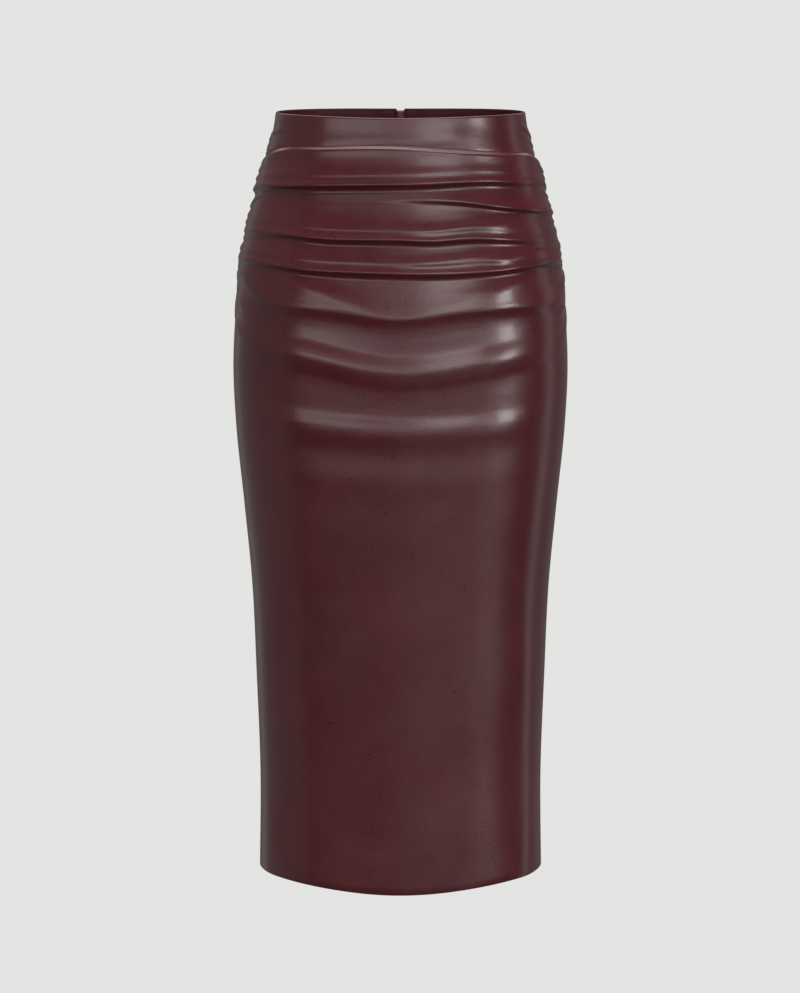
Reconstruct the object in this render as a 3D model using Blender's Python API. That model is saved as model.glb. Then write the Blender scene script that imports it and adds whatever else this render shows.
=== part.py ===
"""High-waisted leather skirt, standing filled out as when it is worn.

Frame: metres, +Z up, the front faces -Y and +X is the wearer's left. The origin is the middle of the waist
ring, level with the waist edge at the side seams. A place on the cloth is given by its turn, in degrees
round the body from the centre front towards +X, and its drop, the distance below the waist.
"""

import math

import bmesh
import bpy
import numpy as np

MM = 0.001

# Cloth, seams and allowances
CLOTH = 1.5 * MM  # wall of a panel
FACING_CLOTH = 1.0 * MM
TAPE_CLOTH = 0.8 * MM
SEAM_GAP = 0.3 * MM  # between pieces that are sewn together
TAPE_GAP = 0.5 * MM  # between the panel and the flat zip tape behind it
HEM_CLOTH = 2.6 * MM  # wall where the hem is turned up
HEM_TURN = 32 * MM  # depth of the turned hem
FACING_DEPTH = 38 * MM
FACING_BELOW_EDGE = 1.2 * MM

# Outline of the body that the skirt is cut for: half width at the sides, depth to the front and to the
# back of the side plane, and how many degrees the side seam lies in front of that plane.
SECTIONS = (
    dict(drop=0 * MM, half_width=123.5 * MM, front=89 * MM, back=91 * MM, seam_forward=0.5),
    dict(drop=14 * MM, half_width=125.5 * MM, front=90 * MM, back=93 * MM, seam_forward=0.5),
    dict(drop=45 * MM, half_width=133.5 * MM, front=94 * MM, back=99 * MM, seam_forward=0.5),
    dict(drop=85 * MM, half_width=145 * MM, front=99 * MM, back=108 * MM, seam_forward=0.5),
    dict(drop=125 * MM, half_width=154 * MM, front=104 * MM, back=117 * MM, seam_forward=0.5),
    dict(drop=165 * MM, half_width=160.5 * MM, front=108 * MM, back=124 * MM, seam_forward=0.8),
    dict(drop=205 * MM, half_width=164.5 * MM, front=111 * MM, back=128 * MM, seam_forward=1.5),
    dict(drop=250 * MM, half_width=166.5 * MM, front=112 * MM, back=129 * MM, seam_forward=2.5),
    dict(drop=310 * MM, half_width=164 * MM, front=112 * MM, back=126 * MM, seam_forward=3.5),
    dict(drop=390 * MM, half_width=156 * MM, front=111 * MM, back=118 * MM, seam_forward=4.5),
    dict(drop=470 * MM, half_width=148.5 * MM, front=109 * MM, back=111 * MM, seam_forward=5.5),
    dict(drop=560 * MM, half_width=144.5 * MM, front=107 * MM, back=107 * MM, seam_forward=6.5),
    dict(drop=660 * MM, half_width=141 * MM, front=105 * MM, back=105 * MM, seam_forward=7.5),
    dict(drop=770 * MM, half_width=142 * MM, front=104 * MM, back=104 * MM, seam_forward=8),
)
ROUNDNESS = 2.2  # exponent of the rings; 2 is an ellipse

SIDE_LENGTH = 757 * MM  # waist to hem at the side seams
FRONT_HEM_DIP = 12 * MM  # how much lower the hem hangs at the centre front
BACK_HEM_DIP = 6 * MM
FRONT_WAIST_DIP = 2 * MM
BACK_WAIST_DIP = 1 * MM

# The largest folds of the front, drawn in by the ruched side seams. Each has its drop and its height at
# seven turns round the front, from one side seam to the other.
FRONT_TURNS = (-90, -60, -30, 0, 30, 60, 90)
FRONT_FOLDS = (
    dict(name="first crease", drops=(48, 36, 33, 32, 37, 41, 50), heights=(2.5, 2.5, 2, 2, 2.5, 2.5, 2.5)),
    dict(name="second crease", drops=(76, 70, 67, 65, 63, 66, 72), heights=(3, 4, 4, 3.5, 3, 2.5, 2.5)),
    dict(name="right fold", drops=(94, 92, 86, 82, 86, 95, 98), heights=(1, 0.5, 0.5, 1.5, 3, 3.5, 3)),
    dict(name="third crease", drops=(115, 115, 118, 119, 119, 122, 124), heights=(3, 3, 4, 4, 3.5, 2, 1.5)),
    dict(name="deep swag", drops=(142, 144, 149, 151, 151, 147, 142), heights=(3, 4, 4.5, 4, 4, 4, 3)),
    dict(name="last swag", drops=(158, 176, 187, 195, 188, 183, 173), heights=(2, 2.5, 3, 3, 3.5, 3, 2)),
)
# Folds of the back, which fade out before the zip, at five turns from the left to the right side seam.
BACK_TURNS = (-90, -120, -180, -240, -270)
BACK_FOLDS = (
    dict(name="first back fold", drops=(48, 45, 42, 46, 50), heights=(2, 2.5, 0, 2.5, 2)),
    dict(name="second back fold", drops=(76, 80, 86, 78, 72), heights=(2.5, 3.5, 0, 3, 2.5)),
    dict(name="third back fold", drops=(115, 119, 126, 120, 110), heights=(3, 3.5, 0, 3.5, 3)),
    dict(name="last back fold", drops=(150, 160, 172, 164, 152), heights=(2.5, 3, 0, 3, 2.5)),
)
# A fold from above to below: distance from its crest line, and share of its height.
FOLD_PROFILE = (
    dict(below_crest=-6 * MM, share=0.5),
    dict(below_crest=0 * MM, share=1.0),
    dict(below_crest=2.5 * MM, share=0.45),
    dict(below_crest=5.5 * MM, share=0.0),
)
BETWEEN_FOLDS = 0.35  # share of the neighbours' height halfway between two folds
SEAM_PINCH = 7  # degrees over which a fold flattens into its seam
# Rows above the first fold, below the waist edge, and rows of the smooth part, as shares of the way from
# the last fold to the hem's turn.
FRONT_TOP_ROWS = (13 * MM, 22 * MM)
BACK_TOP_ROWS = (4 * MM, 8 * MM, 13 * MM, 22 * MM)
SMOOTH_ROWS = (0.06, 0.14, 0.25, 0.38, 0.54, 0.7, 0.86)
FRONT_COLUMNS = 22  # spans round the front panel
BACK_COLUMNS = 9  # spans round each back panel, besides its rolled edge

# Centre back: the panels' edges roll inwards over the concealed zip, and part in a notch at the waist.
ROLL = 2.5 * MM
ROLL_SPANS = 2
NOTCH_HALF_WIDTH = 4.5 * MM
NOTCH_DEPTH = 20 * MM
TAPE_WIDTH = 13 * MM
TAPE_TOP = 2 * MM
TAPE_BOTTOM = 205 * MM
FACING_FROM_ZIP = 5.2 * MM
FACING_OVER_TAPE = 13.4 * MM  # the facing lies over the tape out to here

# Slider: a body inside the cloth, a neck through the notch, and a round bridge outside it.
AXIS_DROP = 6 * MM  # height of the pull's hinge line below the waist
SLIDER_BODY = dict(width=7.6 * MM, height=9 * MM, thickness=3 * MM)
SLIDER_DEPTH = 6.0 * MM  # from the cloth's outer face to the slider's body
NECK_WIDTH = 1.6 * MM
NECK_HEIGHT = 3.2 * MM
BRIDGE_OUTER = 1.9 * MM
BRIDGE_INNER = 1.0 * MM
BRIDGE_SIDES = 16

# Pull: a drop-shaped tab with a window, whose top bar turns in the bridge.
PULL_THICKNESS = 1.0 * MM
PULL_CLEARANCE = 0.5 * MM  # between the tab and the cloth it lies on
PULL_OUTLINE = (
    dict(below=-0.5 * MM, half_width=1.9 * MM),
    dict(below=1.5 * MM, half_width=2.4 * MM),
    dict(below=4.5 * MM, half_width=2.1 * MM),
    dict(below=9 * MM, half_width=2.3 * MM),
    dict(below=15 * MM, half_width=3.1 * MM),
    dict(below=19 * MM, half_width=3.2 * MM),
    dict(below=21.5 * MM, half_width=2.2 * MM),
    dict(below=22.5 * MM, half_width=0.9 * MM),
)
WINDOW_HALF_WIDTH = 1.3 * MM
WINDOW = (0.5 * MM, 2.7 * MM)  # from the hinge line down


# ---------------------------------------------------------------------------------------------------------
# The body's form


def curve_through(stops, values, at):
    """Smooth cubic through a row of values, sloped at each stop like the mean of its two neighbours."""
    stops = np.asarray(stops, float)
    values = np.asarray(values, float)
    at = np.clip(at, stops[0], stops[-1])
    step = np.diff(stops)
    rise = np.diff(values) / step
    inner = (rise[:-1] * step[1:] + rise[1:] * step[:-1]) / (step[1:] + step[:-1])
    slope = np.concatenate([rise[:1], inner, rise[-1:]])
    k = np.clip(np.searchsorted(stops, at, side="right") - 1, 0, len(step) - 1)
    t = (at - stops[k]) / step[k]
    start = values[k] * (1 + 2 * t) * (1 - t) ** 2 + slope[k] * step[k] * t * (1 - t) ** 2
    end = values[k + 1] * (3 - 2 * t) * t**2 - slope[k + 1] * step[k] * (1 - t) * t**2
    return start + end


def section(column, drop):
    """One column of the body's outline at a drop."""
    drops = [row["drop"] for row in SECTIONS]
    return curve_through(drops, [row[column] for row in SECTIONS], drop)


def on_body(turn, drop, out):
    """Points on the body's rings, moved out along each ring's own normal."""
    turn, drop, out = np.broadcast_arrays(turn, drop, out)
    across = np.sin(np.radians(turn))
    along = -np.cos(np.radians(turn))
    half_width = section("half_width", drop)
    depth = np.where(along < 0, section("front", drop), section("back", drop))
    reach = (np.abs(across / half_width) ** ROUNDNESS + np.abs(along / depth) ** ROUNDNESS) ** (-1 / ROUNDNESS)
    x = reach * across
    y = reach * along
    normal_x = np.sign(x) * np.abs(x / half_width) ** (ROUNDNESS - 1) / half_width
    normal_y = np.sign(y) * np.abs(y / depth) ** (ROUNDNESS - 1) / depth
    length = np.hypot(normal_x, normal_y)
    return np.stack([x + out * normal_x / length, y + out * normal_y / length, -drop], axis=-1)


def hem_drop(turn):
    """Drop of the hem, which hangs lowest at the centre front and the centre back."""
    along = np.cos(np.radians(turn))
    return SIDE_LENGTH + np.where(along > 0, FRONT_HEM_DIP, BACK_HEM_DIP) * along**2


def waist_drop(turn):
    """Drop of the waist edge, which dips a little at the centre front and the centre back."""
    along = np.cos(np.radians(turn))
    return np.where(along > 0, FRONT_WAIST_DIP, BACK_WAIST_DIP) * np.abs(along) ** 3


def seam_turn(drop):
    """Turn of the side seam at a drop."""
    return 90 - section("seam_forward", drop)


def half_gap_turn(drop):
    """Half the seam's gap as a turn at the side of the body."""
    return np.degrees(SEAM_GAP / 2 / section("half_width", drop))


# ---------------------------------------------------------------------------------------------------------
# Rows that run along the folds


def fold_rows(turns, folds, fold_turns, top_rows):
    """(drop, height) arrays of every row, from the waist edge to the hem, along the given turns."""
    order = np.argsort(fold_turns)
    stops = np.asarray(fold_turns, float)[order]
    rows = [(waist_drop(turns) + below, 0 * turns) for below in (0, *top_rows)]
    before = None
    for fold in folds:
        crest = curve_through(stops, np.asarray(fold["drops"])[order] * MM, turns)
        height = np.maximum(curve_through(stops, np.asarray(fold["heights"])[order] * MM, turns), 0)
        if before is not None:
            middle = (before[0] + crest + FOLD_PROFILE[0]["below_crest"]) / 2
            rows.append((middle, BETWEEN_FOLDS * (before[1] + height) / 2))
        for step in FOLD_PROFILE:
            rows.append((crest + step["below_crest"], step["share"] * height))
        before = (rows[-1][0], height)
    start = before[0]
    turned = hem_drop(turns) - HEM_TURN
    for share in SMOOTH_ROWS:
        rows.append((start + share * (turned - start), 0 * turns))
    for drop in (turned - CLOTH / 2, turned + CLOTH / 2, (turned + hem_drop(turns)) / 2, hem_drop(turns)):
        rows.append((drop, 0 * turns))
    drops, heights = zip(*rows)
    return np.array(drops), np.array(heights)


def pinched(heights, turns):
    """Fold heights that run out in the side seams, where the stitching holds the cloth flat."""
    from_seam = np.abs(np.abs(np.abs(turns) - 180) - 90)
    t = np.clip(from_seam / SEAM_PINCH, 0, 1)
    return heights * t * t * (3 - 2 * t)


def wall_of(drops, turns):
    """Thickness of a panel: more where the hem is turned up."""
    return np.where(drops > hem_drop(turns) - HEM_TURN, HEM_CLOTH, CLOTH)


def front_columns():
    """Columns of the front, from -1 at the left seam to 1 at the right one, with one more close to each."""
    share = np.linspace(-1, 1, FRONT_COLUMNS + 1)
    return np.sort(np.append(share, [-1 + 0.5 / FRONT_COLUMNS, 1 - 0.5 / FRONT_COLUMNS]))


def front_grid():
    """Outer and inner points of the front panel, row by row from the left seam to the right one."""
    share = front_columns()
    drops, heights = fold_rows(90 * share, FRONT_FOLDS, FRONT_TURNS, FRONT_TOP_ROWS)
    turns = share * (seam_turn(drops) - half_gap_turn(drops))
    out = pinched(heights, np.broadcast_to(90 * share, drops.shape))
    return on_body(turns, drops, out), on_body(turns, drops, out - wall_of(drops, turns))


def centre_edge(drop):
    """Distance of a back panel's rolled edge from the centre back line."""
    open_share = np.clip(1 - drop / NOTCH_DEPTH, 0, 1)
    return SEAM_GAP / 2 + NOTCH_HALF_WIDTH * open_share**2


def from_centre_back(distance, drop):
    """Turn, less than 180, of a point that lies a distance from the centre back line."""
    return 180 - np.degrees(distance / section("back", drop))


def rolled_edge():
    """Distances from a panel's centre back edge, and how far the roll draws the cloth in at each."""
    angle = np.linspace(0, math.pi / 2, ROLL_SPANS + 1)
    return ROLL * (1 - np.cos(angle)), ROLL * (1 - np.sin(angle))


def back_columns():
    """Columns of a back panel, from 0 at its side seam to its last one before the rolled edge, at 1."""
    return np.linspace(0, 1, BACK_COLUMNS + 1)[:-1]


def back_rows(side, nominal):
    """(drop, height) arrays of a back panel's rows at turns counted from 90 at the seam to 180."""
    fold_turns = -nominal if side < 0 else nominal - 360
    return fold_rows(fold_turns, BACK_FOLDS, BACK_TURNS, BACK_TOP_ROWS)


def back_grid(side):
    """Outer and inner points of a back panel, from its side seam to its rolled edge. side is 1 or -1."""
    share = back_columns()
    roll_along, roll_in = rolled_edge()
    nominal = np.concatenate([90 + 90 * share, np.full(ROLL_SPANS + 1, 180.0)])
    drops, heights = back_rows(side, nominal)
    edge = from_centre_back(centre_edge(drops) + np.append(0 * share, roll_along[::-1]), drops)
    start = seam_turn(drops) + half_gap_turn(drops)
    across = np.append(share, np.ones(ROLL_SPANS + 1))
    turns = start + across * (edge - start)
    out = pinched(heights, np.broadcast_to(nominal, drops.shape)) - np.append(0 * share, roll_in[::-1])
    outer = on_body(side * turns, drops, out)
    inner = on_body(side * turns, drops, out - wall_of(drops, turns))
    return outer, inner


def tape_grid(side):
    """Outer and inner points of a zip tape, laid on the inside of a back panel's rolled edge."""
    roll_along, roll_in = rolled_edge()
    along = np.append(roll_along, [TAPE_WIDTH * 0.6, TAPE_WIDTH])
    inward = np.append(roll_in, [0, 0])
    panel_drops = back_rows(side, np.array([180.0]))[0][:, 0]
    within = panel_drops[(panel_drops > TAPE_TOP + MM) & (panel_drops < TAPE_BOTTOM - MM)]
    drops = np.concatenate([[TAPE_TOP], within, [TAPE_BOTTOM]])[:, None]
    turns = from_centre_back(centre_edge(drops) + along, drops)
    out = -inward - CLOTH - TAPE_GAP
    return on_body(side * turns, drops, out), on_body(side * turns, drops, out - TAPE_CLOTH)


def facing_rows(turns, top_rows):
    """Drops of a facing's rows: its own edges, and the panel's rows between them."""
    return np.array([waist_drop(turns) + below for below in (FACING_BELOW_EDGE, *top_rows, FACING_DEPTH)])


def front_facing_grid():
    """Outer and inner points of the front facing, on the inside of the front panel."""
    share = front_columns()
    drops = facing_rows(90 * share, FRONT_TOP_ROWS)
    turns = share * (seam_turn(drops) - half_gap_turn(drops))
    out = -CLOTH - SEAM_GAP
    return on_body(turns, drops, out), on_body(turns, drops, out - FACING_CLOTH)


def back_facing_grid(side):
    """Outer and inner points of a back facing, which rises over the zip tape near the centre back."""
    share = back_columns()
    from_edge = np.append(0 * share, [FACING_OVER_TAPE, FACING_FROM_ZIP])
    over_tape = np.append(0 * share, [1, 1])
    drops = facing_rows(np.append(90 + 90 * share, [180, 180]), BACK_TOP_ROWS)
    start = seam_turn(drops) + half_gap_turn(drops)
    edge = from_centre_back(centre_edge(drops) + from_edge, drops)
    turns = start + np.append(share, [1, 1]) * (edge - start)
    out = -CLOTH - SEAM_GAP - over_tape * (TAPE_GAP + TAPE_CLOTH)
    return on_body(side * turns, drops, out), on_body(side * turns, drops, out - FACING_CLOTH)


# ---------------------------------------------------------------------------------------------------------
# Blender objects


def finish(name, colour, roughness, metallic=0.0):
    """A Principled material."""
    material = bpy.data.materials.new(name)
    material.use_nodes = True
    shader = material.node_tree.nodes["Principled BSDF"]
    shader.inputs["Base Color"].default_value = (*colour, 1)
    shader.inputs["Roughness"].default_value = roughness
    shader.inputs["Metallic"].default_value = metallic
    return material


def add_object(name, bm, material, smooth_below=None):
    """Turns a bmesh into an object of the scene."""
    bmesh.ops.recalc_face_normals(bm, faces=bm.faces)
    mesh = bpy.data.meshes.new(name)
    bm.to_mesh(mesh)
    bm.free()
    mesh.materials.append(material)
    if smooth_below is not None:
        mesh.shade_smooth()
        mesh.set_sharp_from_angle(angle=math.radians(smooth_below))
    made = bpy.data.objects.new(name, mesh)
    bpy.context.scene.collection.objects.link(made)
    return made


def add_shell(name, grids, material):
    """A closed wall between an outer and an inner grid of points, with a rim round its four edges."""
    outer, inner = grids
    bm = bmesh.new()
    sheets = [[[bm.verts.new(point) for point in row] for row in sheet] for sheet in (outer, inner)]
    rows, columns = outer.shape[:2]
    for sheet in sheets:
        for r in range(rows - 1):
            for c in range(columns - 1):
                bm.faces.new((sheet[r][c], sheet[r][c + 1], sheet[r + 1][c + 1], sheet[r + 1][c]))
    rim = [(0, c) for c in range(columns)] + [(r, columns - 1) for r in range(1, rows)]
    rim += [(rows - 1, c) for c in range(columns - 2, -1, -1)] + [(r, 0) for r in range(rows - 2, 0, -1)]
    for (r, c), (next_r, next_c) in zip(rim, rim[1:] + rim[:1]):
        bm.faces.new((sheets[0][r][c], sheets[0][next_r][next_c], sheets[1][next_r][next_c], sheets[1][r][c]))
    return add_object(name, bm, material, smooth_below=50)


def add_box(name, size, centre, material):
    """A box of a size, round its centre."""
    bm = bmesh.new()
    bmesh.ops.create_cube(bm, size=1)
    bmesh.ops.scale(bm, vec=size, verts=bm.verts)
    bmesh.ops.translate(bm, vec=centre, verts=bm.verts)
    return add_object(name, bm, material)


def extruded(outline, axis, depth):
    """A prism of a closed outline, centred on its plane and extruded along an axis."""
    bm = bmesh.new()
    face = bm.faces.new([bm.verts.new(point) for point in outline])
    offset = np.eye(3)[axis] * depth
    bmesh.ops.translate(bm, vec=-offset / 2, verts=bm.verts)
    grown = bmesh.ops.extrude_face_region(bm, geom=[face])
    moved = [item for item in grown["geom"] if isinstance(item, bmesh.types.BMVert)]
    bmesh.ops.translate(bm, vec=offset, verts=moved)
    return bm


def boolean(target, tool, operation):
    """Joins a tool to a target, or cuts it away, and leaves the tool out of the render."""
    tool.hide_render = True
    tool.display_type = "WIRE"
    step = target.modifiers.new(tool.name, "BOOLEAN")
    step.operation = operation
    step.solver = "EXACT"
    step.object = tool


def soften(target, width):
    """Rounds the edges of a small hard piece."""
    bevel = target.modifiers.new("edges", "BEVEL")
    bevel.width = width
    bevel.segments = 1
    bevel.limit_method = "ANGLE"
    bevel.angle_limit = math.radians(50)


def circle(radius, y, z):
    """Points round a circle in the plane across X."""
    angles = np.arange(BRIDGE_SIDES) * 2 * math.pi / BRIDGE_SIDES
    return [(0, y + radius * math.cos(angle), z + radius * math.sin(angle)) for angle in angles]


def hinge_line():
    """Place of the pull's hinge line, (y, z): the tab then lies just clear of the cloth."""
    cloth = float(section("back", np.array(AXIS_DROP)))
    return cloth + PULL_CLEARANCE + PULL_THICKNESS / 2, -AXIS_DROP


def build_slider(material):
    """Slider: its body inside the cloth, the neck through the notch and the bridge outside, in one."""
    y, z = hinge_line()
    cloth = float(section("back", np.array(AXIS_DROP)))
    body_y = cloth - SLIDER_DEPTH - SLIDER_BODY["thickness"] / 2
    size = (SLIDER_BODY["width"], SLIDER_BODY["thickness"], SLIDER_BODY["height"])
    slider = add_box("zip_slider", size, (0, body_y, z - 1 * MM), material)
    soften(slider, 0.9 * MM)
    neck_start = body_y + SLIDER_BODY["thickness"] / 4
    neck_end = y - (BRIDGE_INNER + BRIDGE_OUTER) / 2
    neck_size = (NECK_WIDTH, neck_end - neck_start, NECK_HEIGHT)
    neck = add_box("neck_tool", neck_size, (0, (neck_start + neck_end) / 2, z), material)
    bridge = add_object("bridge_tool", extruded(circle(BRIDGE_OUTER, y, z), 0, NECK_WIDTH), material)
    hole = add_object("bridge_hole_tool", extruded(circle(BRIDGE_INNER, y, z), 0, 3 * NECK_WIDTH), material)
    boolean(slider, neck, "UNION")
    boolean(slider, bridge, "UNION")
    boolean(slider, hole, "DIFFERENCE")
    return slider


def build_pull(material):
    """Pull tab, made round its hinge line and hung from an empty there, lying along the cloth."""
    y, z = hinge_line()
    side = [(row["half_width"], 0, -row["below"]) for row in PULL_OUTLINE]
    outline = side + [(-x, 0, down) for x, _, down in reversed(side)]
    pull = add_object("zip_pull", extruded(outline, 1, PULL_THICKNESS), material)
    soften(pull, 0.2 * MM)
    window_size = (2 * WINDOW_HALF_WIDTH, 3 * PULL_THICKNESS, WINDOW[1] - WINDOW[0])
    window = add_box("window_tool", window_size, (0, 0, -(WINDOW[0] + WINDOW[1]) / 2), material)
    boolean(pull, window, "DIFFERENCE")
    hinge = bpy.data.objects.new("pull_hinge", None)
    bpy.context.scene.collection.objects.link(hinge)
    tip = PULL_OUTLINE[-1]["below"]
    rise = float(section("back", np.array(AXIS_DROP + tip)) - section("back", np.array(AXIS_DROP)))
    hinge.location = (0, y, z)
    hinge.rotation_euler = (math.atan2(rise, tip), 0, 0)
    pull.parent = hinge
    window.parent = hinge
    return pull


def main():
    """Clears the scene and builds every piece."""
    for thing in list(bpy.data.objects):
        bpy.data.objects.remove(thing, do_unlink=True)
    leather = finish("burgundy_leather", (0.07, 0.016, 0.021), 0.36)
    facing = finish("burgundy_facing", (0.06, 0.013, 0.018), 0.4)
    tape = finish("burgundy_tape", (0.045, 0.01, 0.014), 0.85)
    lacquer = finish("burgundy_lacquer", (0.08, 0.012, 0.02), 0.3, metallic=0.2)
    add_shell("front_panel", front_grid(), leather)
    add_shell("facing_front", front_facing_grid(), facing)
    for side, word in ((-1, "left"), (1, "right")):
        add_shell(f"back_{word}", back_grid(side), leather)
        add_shell(f"facing_back_{word}", back_facing_grid(side), facing)
        add_shell(f"zip_tape_{word}", tape_grid(side), tape)
    build_slider(lacquer)
    build_pull(lacquer)


if __name__ == "__main__":
    main()
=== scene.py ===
"""Looks of a high-waisted leather pencil skirt, ruched into its side seams over the hips.

A place on the cloth is given by its turn, in degrees round the body from the centre front towards +X, and
its drop, the distance in metres below the waist. The front faces -Y and +Z is up.
"""

import logging
import math
from dataclasses import dataclass
from enum import Enum
from typing import Any, Callable, Sequence

import bpy
import numpy as np
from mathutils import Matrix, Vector


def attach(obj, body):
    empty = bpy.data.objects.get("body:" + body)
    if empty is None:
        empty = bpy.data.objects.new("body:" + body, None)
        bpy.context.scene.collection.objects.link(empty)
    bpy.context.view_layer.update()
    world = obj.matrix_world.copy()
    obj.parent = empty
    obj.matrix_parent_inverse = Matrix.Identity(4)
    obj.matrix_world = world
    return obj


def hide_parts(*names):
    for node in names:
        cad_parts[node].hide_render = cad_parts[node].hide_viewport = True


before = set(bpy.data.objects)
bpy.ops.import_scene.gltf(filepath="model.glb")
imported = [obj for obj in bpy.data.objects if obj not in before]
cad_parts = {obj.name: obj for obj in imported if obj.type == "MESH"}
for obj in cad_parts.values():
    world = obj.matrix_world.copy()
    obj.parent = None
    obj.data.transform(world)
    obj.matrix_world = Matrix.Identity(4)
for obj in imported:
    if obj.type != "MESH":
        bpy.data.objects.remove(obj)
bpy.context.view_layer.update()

Array = np.ndarray
MM = 0.001
log = logging.getLogger("skirt")


# ---------------------------------------------------------------------------------------------------------
# Curves and grids


def curve_through(stops: Sequence[float], values: Sequence[float], at: Array) -> Array:
    """Smooth cubic through a row of values, sloped at each stop like the mean of its two neighbours.

    Args:
        stops: Places of the values, rising.
        values: Value at each stop.
        at: Places to read the curve at. Beyond the ends it keeps the end values.

    Returns:
        The curve's values, in the shape of at.
    """
    stops = np.asarray(stops, float)
    values = np.asarray(values, float)
    at = np.clip(at, stops[0], stops[-1])
    step = np.diff(stops)
    rise = np.diff(values) / step
    inner = (rise[:-1] * step[1:] + rise[1:] * step[:-1]) / (step[1:] + step[:-1])
    slope = np.concatenate([rise[:1], inner, rise[-1:]])
    k = np.clip(np.searchsorted(stops, at, side="right") - 1, 0, len(step) - 1)
    t = (at - stops[k]) / step[k]
    start = values[k] * (1 + 2 * t) * (1 - t) ** 2 + slope[k] * step[k] * t * (1 - t) ** 2
    end = values[k + 1] * (3 - 2 * t) * t**2 - slope[k + 1] * step[k] * (1 - t) * t**2
    return start + end


def ease(value: Array, low: float, high: float) -> Array:
    """0 below low, 1 above high, and a smooth step (3t^2 - 2t^3) between them."""
    t = np.clip((value - low) / (high - low), 0, 1)
    return t * t * (3 - 2 * t)


def bell(value: Array) -> Array:
    """The bell curve exp(-t^2)."""
    return np.exp(-value * value)


@dataclass(frozen=True)
class Section:
    """One ring of the body: half width, depth to the front and back, and how far the side seam is forward."""

    drop: float
    half_width: float
    front: float
    back: float
    seam_forward: float


@dataclass(frozen=True)
class BodyForm:
    """The form that the skirt is cut for, as rings at measured drops."""

    sections: tuple[Section, ...] = (
        Section(0 * MM, 123.5 * MM, 89 * MM, 91 * MM, 0.5),
        Section(14 * MM, 125.5 * MM, 90 * MM, 93 * MM, 0.5),
        Section(45 * MM, 133.5 * MM, 94 * MM, 99 * MM, 0.5),
        Section(85 * MM, 145 * MM, 99 * MM, 108 * MM, 0.5),
        Section(125 * MM, 154 * MM, 104 * MM, 117 * MM, 0.5),
        Section(165 * MM, 160.5 * MM, 108 * MM, 124 * MM, 0.8),
        Section(205 * MM, 164.5 * MM, 111 * MM, 128 * MM, 1.5),
        Section(250 * MM, 166.5 * MM, 112 * MM, 129 * MM, 2.5),
        Section(310 * MM, 164 * MM, 112 * MM, 126 * MM, 3.5),
        Section(390 * MM, 156 * MM, 111 * MM, 118 * MM, 4.5),
        Section(470 * MM, 148.5 * MM, 109 * MM, 111 * MM, 5.5),
        Section(560 * MM, 144.5 * MM, 107 * MM, 107 * MM, 6.5),
        Section(660 * MM, 141 * MM, 105 * MM, 105 * MM, 7.5),
        Section(770 * MM, 142 * MM, 104 * MM, 104 * MM, 8),
    )
    roundness: float = 2.2
    side_length: float = 757 * MM
    front_hem_dip: float = 12 * MM
    back_hem_dip: float = 6 * MM
    front_waist_dip: float = 2 * MM
    back_waist_dip: float = 1 * MM
    seam_wave: float = 0.35

    def size(self, column: str, drop: Array) -> Array:
        """One column of the sections, read at drops."""
        drops = [row.drop for row in self.sections]
        return curve_through(drops, [getattr(row, column) for row in self.sections], drop)

    def points(self, turn: Array, drop: Array, out: Array) -> Array:
        """Points on the rings |x/a|^n + |y/b|^n = 1, moved out along each ring's own normal.

        Args:
            turn: Turns in degrees.
            drop: Drops in metres.
            out: Distances outwards in metres.

        Returns:
            An array of the three arguments' common shape, with x, y and z last.
        """
        turn, drop, out = np.broadcast_arrays(turn, drop, out)
        across = np.sin(np.radians(turn))
        along = -np.cos(np.radians(turn))
        half_width = self.size("half_width", drop)
        depth = np.where(along < 0, self.size("front", drop), self.size("back", drop))
        n = self.roundness
        reach = (np.abs(across / half_width) ** n + np.abs(along / depth) ** n) ** (-1 / n)
        x = reach * across
        y = reach * along
        normal_x = np.sign(x) * np.abs(x / half_width) ** (n - 1) / half_width
        normal_y = np.sign(y) * np.abs(y / depth) ** (n - 1) / depth
        length = np.hypot(normal_x, normal_y)
        return np.stack([x + out * normal_x / length, y + out * normal_y / length, -drop], axis=-1)

    def hem_drop(self, turn: Array) -> Array:
        """Drop of the hem, which hangs lowest at the centre front and the centre back."""
        along = np.cos(np.radians(turn))
        return self.side_length + np.where(along > 0, self.front_hem_dip, self.back_hem_dip) * along**2

    def waist_drop(self, turn: Array) -> Array:
        """Drop of the waist edge, which dips a little at the centre front and the centre back."""
        along = np.cos(np.radians(turn))
        dip = np.where(along > 0, self.front_waist_dip, self.back_waist_dip)
        return dip * np.abs(along) ** 3

    def seam_turn(self, drop: Array) -> Array:
        """Turn of the side seam, which waves a little where the cloth is drawn up on it."""
        drawn = ease(drop, 15 * MM, 60 * MM) * (1 - ease(drop, 240 * MM, 330 * MM))
        wave = np.sin(drop / (7.3 * MM)) + 0.6 * np.sin(drop / (3.9 * MM) + 1)
        return 90 - self.size("seam_forward", drop) + self.seam_wave * drawn * wave


FORM = BodyForm()


# ---------------------------------------------------------------------------------------------------------
# Relief of the cloth: folds, swells and gathers


class Side(Enum):
    """Which side of the skirt, seen from the front, and the sign of its turns."""

    LEFT = -1
    RIGHT = 1


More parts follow.
